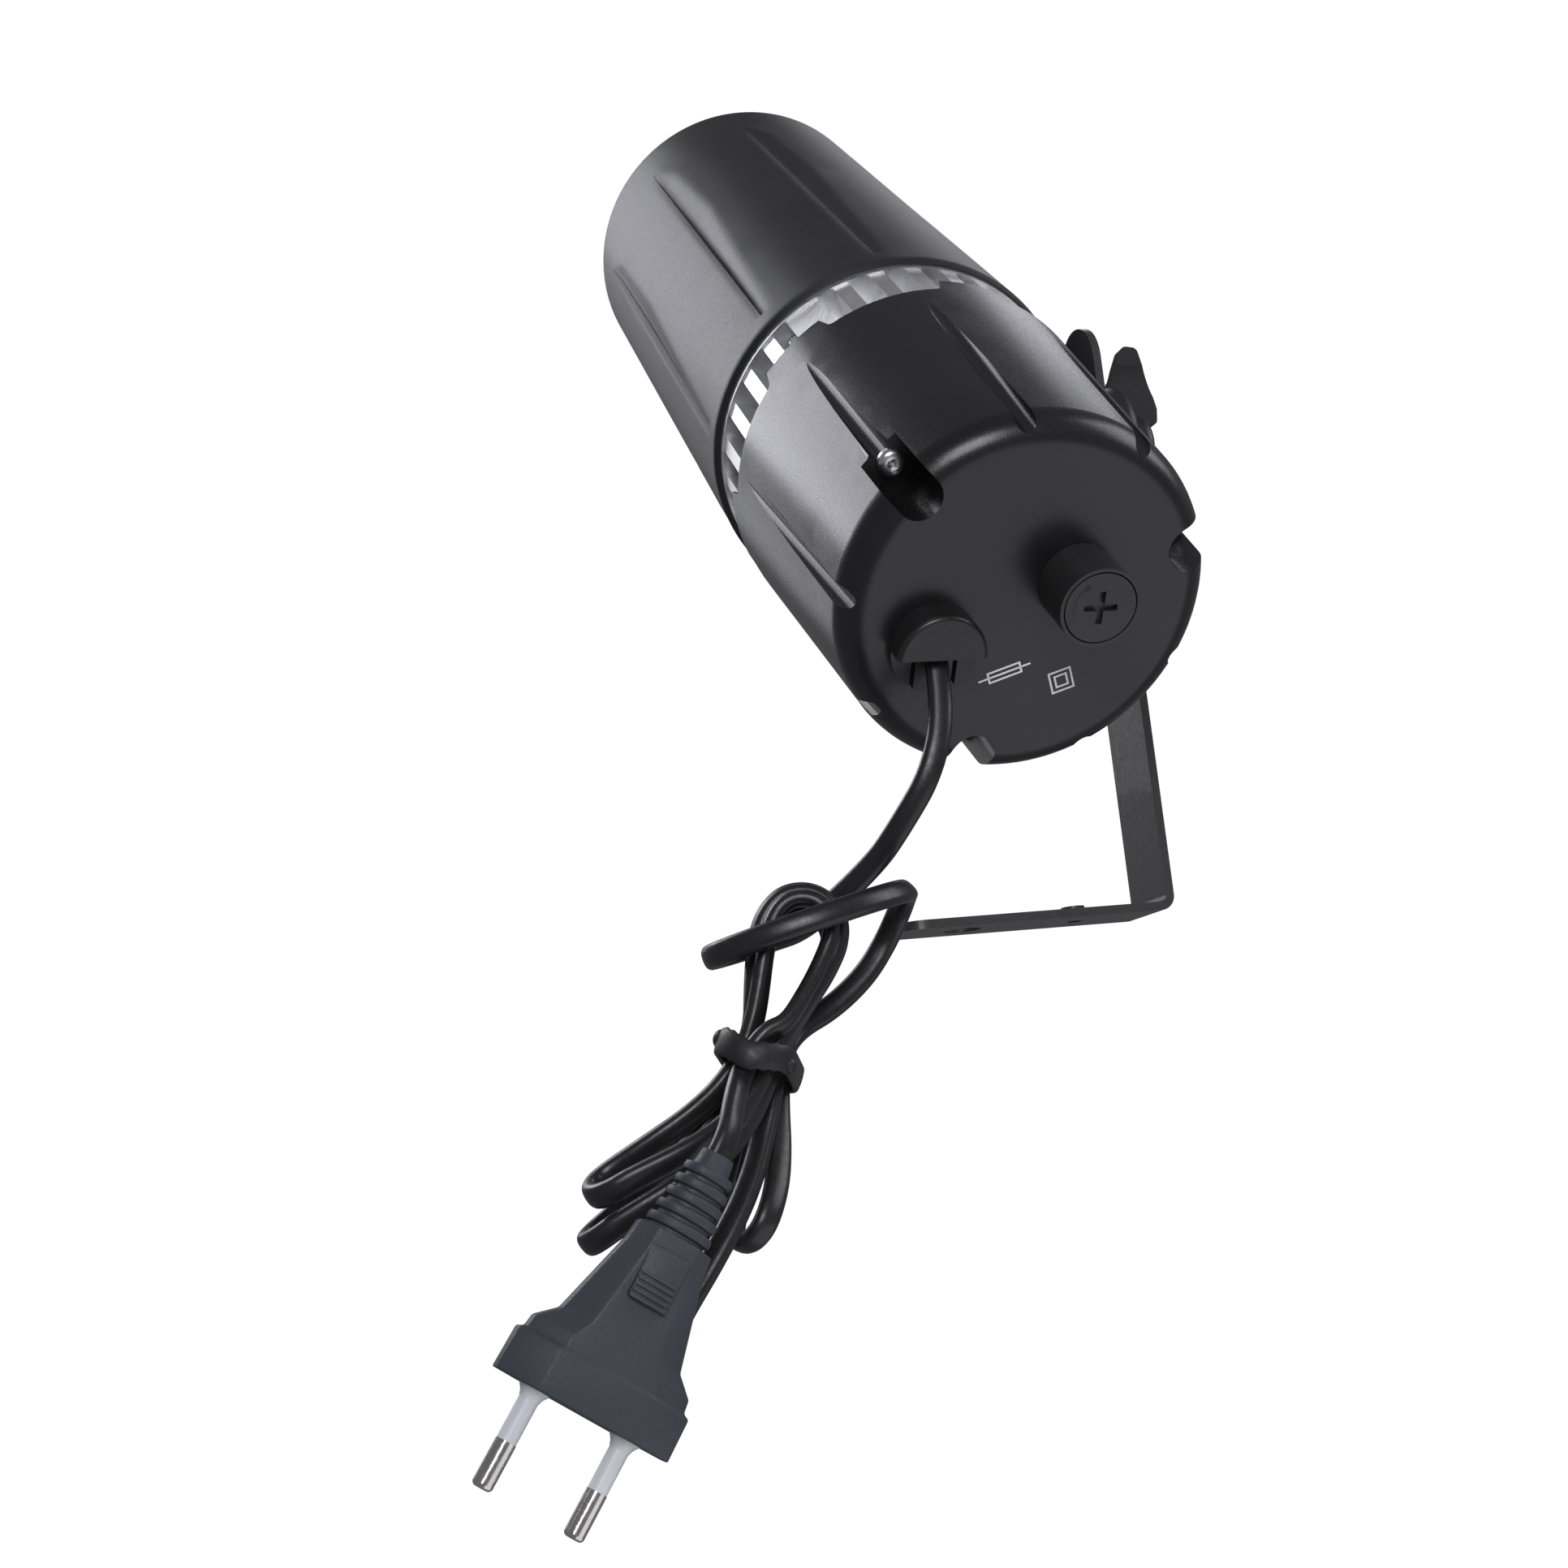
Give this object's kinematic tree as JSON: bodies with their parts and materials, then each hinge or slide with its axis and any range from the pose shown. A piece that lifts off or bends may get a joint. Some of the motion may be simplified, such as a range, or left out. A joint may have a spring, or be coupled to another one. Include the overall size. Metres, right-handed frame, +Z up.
{
  "type": "pinspot light",
  "caption": "Narrow-beam LED pinspot light: fluted round housing with a finned heat-sink ring on a one-armed bracket, wing knob, rear fuse holder and mains lead tied in a hank.",
  "frame": {"origin": "centre of the mounting hole in the bracket's base, on its lower face", "axes": "+Z up along the bracket's arm, +X from the lamp to the arm and its wing knob, +Y towards the raised front of the lamp"},
  "size_m": [0.1943, 0.233, 0.3569],
  "materials": {
    "shell_plastic": "fine spark-eroded texture, satin",
    "cast_aluminium": "machined, bright",
    "lens_glass": "clear, polished",
    "board_white": "white solder mask",
    "emitter_yellow": "phosphor under clear silicone",
    "optic_clear": "clear, polished",
    "screw_steel": "bright zinc",
    "board_green": "green solder mask",
    "transformer_yellow": "taped winding",
    "capacitor_black": "shrink sleeve",
    "holder_plastic": "smooth, satin",
    "fuse_glass": "clear",
    "fuse_metal": "nickel plate",
    "grip_plastic": "smooth nylon, satin",
    "bracket_paint": "fine matt powder coat",
    "washer_rubber": "matt",
    "knob_plastic": "smooth, satin",
    "bolt_steel": "zinc plate",
    "cord_black": "smooth, satin",
    "tie_black": "smooth, satin",
    "plug_grey": "fine texture, satin",
    "pin_metal": "nickel plate",
    "sleeve_white": "smooth, satin"
  },
  "bodies": {
    "bracket_body": {"bracket": "bracket_paint", "pivot_washer": "washer_rubber"},
    "lamp_body": {"capacitors": "capacitor_black", "cord_hank": "cord_black", "cord_lead": "cord_black", "cord_tie": "tie_black", "driver_board": "board_green", "front_lens": "lens_glass", "front_shell": "shell_plastic", "fuse_holder": "holder_plastic", "fuse_holder_nut": "holder_plastic", "heat_sink": "cast_aluminium", "led_board": "board_white", "led_emitter": "emitter_yellow", "led_optic": "optic_clear", "lens_ring": "shell_plastic", "pin_sleeves": "sleeve_white", "plug_body": "plug_grey", "plug_boot": "plug_grey", "plug_pins": "pin_metal", "rear_shell": "shell_plastic", "shell_screws": "screw_steel", "strain_relief": "grip_plastic", "transformer": "transformer_yellow"},
    "knob_body": {"wing_knob": "knob_plastic", "knob_bolt": "bolt_steel"},
    "fuse_drawer": {"fuse_carrier": "holder_plastic", "fuse_tube": "fuse_glass", "fuse_ends": "fuse_metal"},
    "fuse_cap_body": {"fuse_cap": "holder_plastic"}
  },
  "joints": [
    {"name": "lamp_tilt", "type": "hinge", "parent": "bracket_body", "child": "lamp_body", "pos_m": [0, 0, 0.1137], "axis": [1, 0, 0], "range_deg": [-50, 40]},
    {"name": "knob_turn", "type": "hinge", "parent": "lamp_body", "child": "knob_body", "pos_m": [0.0486, 0, 0.1137], "axis": [1, 0, 0], "continuous": true},
    {"name": "fuse_pull", "type": "slide", "parent": "lamp_body", "child": "fuse_drawer", "axis": [0, -0.7604, -0.6494], "range_m": [0, 0.034]},
    {"name": "fuse_cap_turn", "type": "hinge", "parent": "fuse_drawer", "child": "fuse_cap_body", "pos_m": [0.01, -0.06674, 0.06288], "axis": [0, -0.7604, -0.6494], "range_deg": [0, 90]}
  ]
}
